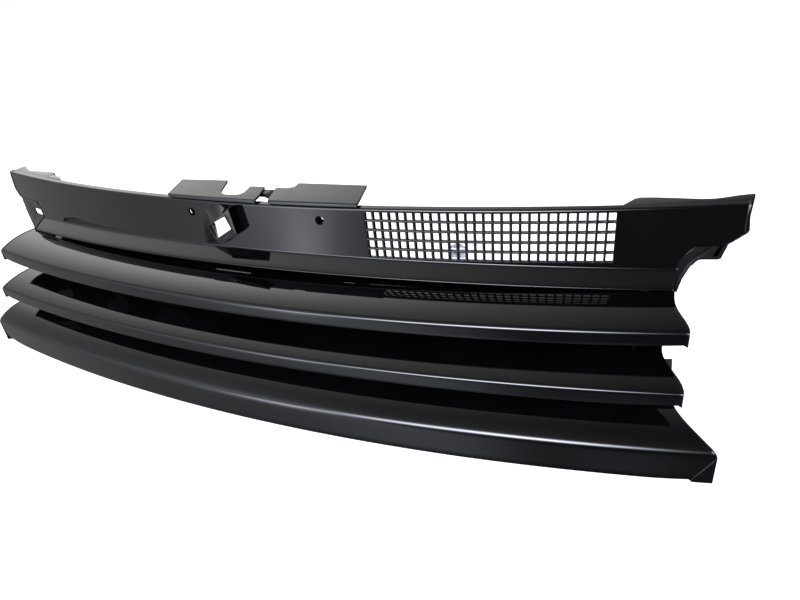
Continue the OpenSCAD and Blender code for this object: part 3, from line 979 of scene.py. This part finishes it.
def make_right_bracket():
    """Plate behind the notched end, with a bead along its free edge."""
    outline = fillet(BRACKET)
    plate = new_piece("right_bracket_plate", prism(outline, 10, 10 + BRACKET_THICK, behind_face))
    round_edges(plate, 0.4, 40)
    edge = [p for p in outline if p.x > 425 and p.y < -27]
    bead = edge + beside(edge, -3.6)[::-1]
    rim = new_piece("right_bracket_bead", prism(bead, 8.6, 10.6, behind_face))
    round_edges(rim, 0.7, 40, 3, 50)
    return [plate, rim]


def make_left_bracket():
    """Plate close behind the left-hand notch, with a window in it."""
    outline = flip(fillet(LEFT_BRACKET), -1)
    plate = new_piece("left_bracket_plate", prism(outline, WALL, WALL + BRACKET_THICK, behind_face))
    window = flip(fillet(LEFT_WINDOW), -1)
    cut(plate, new_piece("cutter", prism(window, -5, 20, behind_face)))
    round_edges(plate, 0.4, 40)
    return [plate]


def make_return():
    """Wall from the notched edge of the face back to the right-hand bracket."""
    edge = fillet([(470, -32, 0), (460.8, -38.4, 1), (437.8, -38.4, 2), (431, -45, 4),
                   (427, -53, 4), (424.2, -61, 0), (424, -62, 0)])
    wall = edge + beside(edge, -2)[::-1]
    piece = new_piece("right_notch_return", prism(wall, WALL - 1, 10.2, behind_face))
    smooth(piece, 35)
    return piece


# ---------------------------------------------------------------- materials
def new_material(name, colour, roughness):
    """A principled material and its node tools."""
    material = bpy.data.materials.new(name)
    material.use_nodes = True
    tree = material.node_tree
    shader = tree.nodes["Principled BSDF"]
    shader.inputs["Base Color"].default_value = (*colour, 1)
    shader.inputs["Roughness"].default_value = roughness
    return material, tree, shader


def noise(tree, scale, detail=3, roughness=0.5):
    """Noise in the object's own metres."""
    around = tree.nodes.new("ShaderNodeTexCoord")
    texture = tree.nodes.new("ShaderNodeTexNoise")
    texture.inputs["Scale"].default_value = scale
    texture.inputs["Detail"].default_value = detail
    texture.inputs["Roughness"].default_value = roughness
    tree.links.new(around.outputs["Object"], texture.inputs["Vector"])
    return texture.outputs["Fac"]


def ramp(tree, value, stops):
    """Maps a value through (position, colour) stops."""
    node = tree.nodes.new("ShaderNodeValToRGB")
    elements = node.color_ramp.elements
    while len(elements) < len(stops):
        elements.new(0.5)
    for element, (position, colour) in zip(elements, stops):
        element.position = position
        element.color = (*colour, 1)
    tree.links.new(value, node.inputs["Fac"])
    return node.outputs["Color"]


def spread(tree, value, low, high, low_out, high_out):
    """Maps a value's range to another."""
    node = tree.nodes.new("ShaderNodeMapRange")
    node.inputs["From Min"].default_value = low
    node.inputs["From Max"].default_value = high
    node.inputs["To Min"].default_value = low_out
    node.inputs["To Max"].default_value = high_out
    tree.links.new(value, node.inputs["Value"])
    return node.outputs["Result"]


def bump(tree, shader, value, strength, distance):
    """Fine relief from a value."""
    node = tree.nodes.new("ShaderNodeBump")
    node.inputs["Strength"].default_value = strength
    node.inputs["Distance"].default_value = distance
    tree.links.new(value, node.inputs["Height"])
    tree.links.new(node.outputs["Normal"], shader.inputs["Normal"])


def gloss_black():
    """Piano-black plastic: faint clouding, fine dust and a trace of orange peel."""
    material, tree, shader = new_material("gloss_black", (0.002, 0.002, 0.002), 0.05)
    shader.inputs["IOR"].default_value = 1.5
    cloud = noise(tree, 9, 4)
    colour = ramp(tree, cloud, [(0.35, (0.0014, 0.0014, 0.0016)), (0.7, (0.0024, 0.0024, 0.0028))])
    tree.links.new(colour, shader.inputs["Base Color"])
    haze = noise(tree, 60, 6, 0.65)
    tree.links.new(spread(tree, haze, 0.3, 0.75, 0.03, 0.07), shader.inputs["Roughness"])
    peel = noise(tree, 420, 2)
    bump(tree, shader, peel, 0.05, 0.0002)
    return material


def satin_black():
    """Moulded black plastic with a fine, even grain."""
    material, tree, shader = new_material("satin_black", (0.005, 0.005, 0.005), 0.38)
    cloud = noise(tree, 25, 4)
    colour = ramp(tree, cloud, [(0.3, (0.004, 0.004, 0.0045)), (0.75, (0.0065, 0.0065, 0.007))])
    tree.links.new(colour, shader.inputs["Base Color"])
    haze = noise(tree, 700, 3)
    tree.links.new(spread(tree, haze, 0.3, 0.7, 0.34, 0.4), shader.inputs["Roughness"])
    grain = noise(tree, 2600, 2)
    bump(tree, shader, grain, 0.12, 0.0001)
    return material


def mesh_black():
    """Semi-gloss bars, their tone and roughness clouded a little at random."""
    material, tree, shader = new_material("mesh_black", (0.006, 0.006, 0.007), 0.22)
    cloud = noise(tree, 90, 3)
    colour = ramp(tree, cloud, [(0.3, (0.005, 0.005, 0.006)), (0.7, (0.009, 0.009, 0.010))])
    tree.links.new(colour, shader.inputs["Base Color"])
    tree.links.new(spread(tree, cloud, 0.3, 0.7, 0.16, 0.3), shader.inputs["Roughness"])
    bump(tree, shader, noise(tree, 1500, 2), 0.1, 0.0001)
    return material


def zinc_steel():
    """Bright zinc plate with faint spangle and handling marks."""
    material, tree, shader = new_material("zinc_steel", (0.55, 0.56, 0.58), 0.3)
    shader.inputs["Metallic"].default_value = 1
    cloud = noise(tree, 300, 3)
    colour = ramp(tree, cloud, [(0.3, (0.42, 0.43, 0.45)), (0.7, (0.62, 0.63, 0.65))])
    tree.links.new(colour, shader.inputs["Base Color"])
    tree.links.new(spread(tree, cloud, 0.3, 0.7, 0.22, 0.42), shader.inputs["Roughness"])
    bump(tree, shader, noise(tree, 900, 3), 0.1, 0.0001)
    return material


MATERIALS = {
    "gloss_black": gloss_black(),
    "satin_black": satin_black(),
    "mesh_black": mesh_black(),
    "zinc_steel": zinc_steel(),
}


def dress(pieces, slot, *nodes):
    """Gives pieces their finish and body; together they replace the nodes."""
    for piece in pieces:
        piece.data.materials.clear()
        piece.data.materials.append(MATERIALS[slot])
        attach(piece, "root")
    if nodes:
        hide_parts(*nodes)


# ---------------------------------------------------------------- the grille
posts = [make_post("panel_post_%d" % k, x, FRAME_SCREW_Z, WALL - 0.5, FRAME_GAP, FRAME_POST_RADIUS,
                   SCREW_BORE) for k, x in enumerate(FRAME_SCREW_X)]
dress([make_panel(), make_return(), make_seat("left_screw_seat", -1), make_seat("right_screw_seat", 1),
       *posts], "gloss_black", "upper_panel")
for spec in SLATS:
    dress([spec.make()], "gloss_black", spec.node)
dress([make_mesh()], "mesh_black", "intake_mesh")
dress([make_hood(), *make_sleeve()], "gloss_black", "release_handle_guide")
dress([make_tab("left_tab_plate", *LEFT_TAB)], "satin_black", "left_carrier_tab")
dress([make_tab("right_tab_plate", *RIGHT_TAB)], "satin_black", "right_carrier_tab")
dress([make_bridge(), make_catch()], "satin_black", "latch_bridge")
for side, word in ((-1, "left"), (1, "right")):
    dress(make_wing(word + "_wing_plate", side), "gloss_black", word + "_wing_flange")
dress([make_ledge()], "satin_black")
dress(make_left_bracket(), "satin_black", "left_headlamp_bracket")
dress(make_right_bracket(), "satin_black", "right_headlamp_bracket")

# the CAD nodes that stay take their record's finish
slots = {part["node"]: part["material_slot"] for part in frame["record"]["subparts"]}
for node, obj in frame["nodes"].items():
    obj.data.materials.clear()
    obj.data.materials.append(MATERIALS[slots[node]])
    smooth(obj, 30)


# ---------------------------------------------------------------- floor, light and camera
FLOOR_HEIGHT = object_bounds()[0].z - MM

# Soft lights: bearing, height and spread in degrees, brightness, colour.
NEUTRAL = (1, 1, 1)
COOL = (0.94, 0.98, 1.12)
AMBIENT = (0.018, 0.017, 0.023)
SOFT_LIGHTS = [
    (-118, -5, 30, 0.45, NEUTRAL),
    (-60, 42, 14, 1.7, NEUTRAL),
    (-45, 60, 22, 0.65, NEUTRAL),
    (-100, 62, 20, 0.35, NEUTRAL),
    (-45, 12, 22, 1.2, NEUTRAL),
    (-146, -18, 9, 1, COOL),
    (-149.5, -22, 3, 1.6, NEUTRAL),
    (-162, -33, 9, 0.7, COOL),
    (-172, -43, 6, 0.35, COOL),
    (-142, 16, 14, 1.2, COOL),
    (-152, -5, 6, 8, COOL),
    (-168, 7, 6.5, 16, COOL),
    (179, 11, 7, 24, COOL),
    (168, 10, 6, 18, COOL),
    (-175, 34, 12, 0.35, NEUTRAL),
    (165, 35, 16, 0.12, NEUTRAL),
    (161, -43, 5, 0.2, COOL),
]


def make_floor():
    """A pale floor that gloss doesn't mirror."""
    bm = bmesh.new()
    bmesh.ops.create_grid(bm, x_segments=8, y_segments=8, size=8)
    mesh = bpy.data.meshes.new("floor")
    bm.to_mesh(mesh)
    bm.free()
    floor = bpy.data.objects.new("floor", mesh)
    bpy.context.scene.collection.objects.link(floor)
    floor.location = (0, 0, FLOOR_HEIGHT)
    material, _, shader = new_material("floor", (0.9, 0.9, 0.9), 0.9)
    shader.inputs["Specular IOR Level"].default_value = 0
    shader.inputs["Emission Color"].default_value = (1, 1, 1, 1)
    shader.inputs["Emission Strength"].default_value = 1
    floor.data.materials.append(material)
    floor.visible_glossy = False


def toward(bearing, height):
    """Unit direction: bearing 0 is straight behind the grille, 90 its right-hand end."""
    bearing = math.radians(bearing)
    height = math.radians(height)
    return (math.sin(bearing) * math.cos(height), math.cos(bearing) * math.cos(height),
            math.sin(height))


def make_world():
    """White backdrop for the camera; soft round lights for everything else."""
    world = bpy.data.worlds.new("studio")
    bpy.context.scene.world = world
    world.use_nodes = True
    tree = world.node_tree
    around = tree.nodes.new("ShaderNodeTexCoord").outputs["Generated"]
    total = None
    for bearing, height, size, brightness, colour in SOFT_LIGHTS:
        facing = tree.nodes.new("ShaderNodeVectorMath")
        facing.operation = "DOT_PRODUCT"
        facing.inputs[1].default_value = toward(bearing, height)
        tree.links.new(around, facing.inputs[0])
        falloff = tree.nodes.new("ShaderNodeMath")
        falloff.operation = "MULTIPLY_ADD"
        sharpness = 1 / math.radians(size) ** 2
        falloff.inputs[1].default_value = sharpness
        falloff.inputs[2].default_value = -sharpness
        tree.links.new(facing.outputs["Value"], falloff.inputs[0])
        glow = tree.nodes.new("ShaderNodeMath")
        glow.operation = "EXPONENT"
        tree.links.new(falloff.outputs[0], glow.inputs[0])
        tint = tree.nodes.new("ShaderNodeVectorMath")
        tint.operation = "SCALE"
        tint.inputs[0].default_value = [brightness * c for c in colour]
        tree.links.new(glow.outputs[0], tint.inputs["Scale"])
        add = tree.nodes.new("ShaderNodeVectorMath")
        add.operation = "ADD"
        add.inputs[0].default_value = AMBIENT
        if total:
            tree.links.new(total, add.inputs[0])
        tree.links.new(tint.outputs["Vector"], add.inputs[1])
        total = add.outputs["Vector"]
    room = tree.nodes["Background"]
    tree.links.new(total, room.inputs["Color"])
    backdrop = tree.nodes.new("ShaderNodeBackground")
    backdrop.inputs["Color"].default_value = (1, 1, 1, 1)
    choose = tree.nodes.new("ShaderNodeMixShader")
    seen = tree.nodes.new("ShaderNodeLightPath").outputs["Is Camera Ray"]
    tree.links.new(seen, choose.inputs["Fac"])
    tree.links.new(room.outputs["Background"], choose.inputs[1])
    tree.links.new(backdrop.outputs["Background"], choose.inputs[2])
    tree.links.new(choose.outputs["Shader"], tree.nodes["World Output"].inputs["Surface"])


def make_camera():
    """Camera ahead of the grille's right-hand end, looking down and to the left."""
    azimuth = 0.446811
    elevation = 0.491947
    roll = -0.1016426
    forward = Vector((-math.sin(azimuth) * math.cos(elevation),
                      math.cos(azimuth) * math.cos(elevation), -math.sin(elevation)))
    level = Vector((math.cos(azimuth), math.sin(azimuth), 0))
    upward = level.cross(forward)
    right = level * math.cos(roll) + upward * math.sin(roll)
    up = upward * math.cos(roll) - level * math.sin(roll)
    data = bpy.data.cameras.new("camera")
    data.sensor_width = 36
    data.lens = 26.703
    camera = bpy.data.objects.new("camera", data)
    matrix = Matrix((right, up, -forward)).transposed().to_4x4()
    matrix.translation = place((401.785, -489.716, 194.567))
    camera.matrix_world = matrix
    bpy.context.scene.collection.objects.link(camera)
    bpy.context.scene.camera = camera


make_floor()
make_world()
make_camera()
bpy.context.scene.view_settings.view_transform = "Standard"
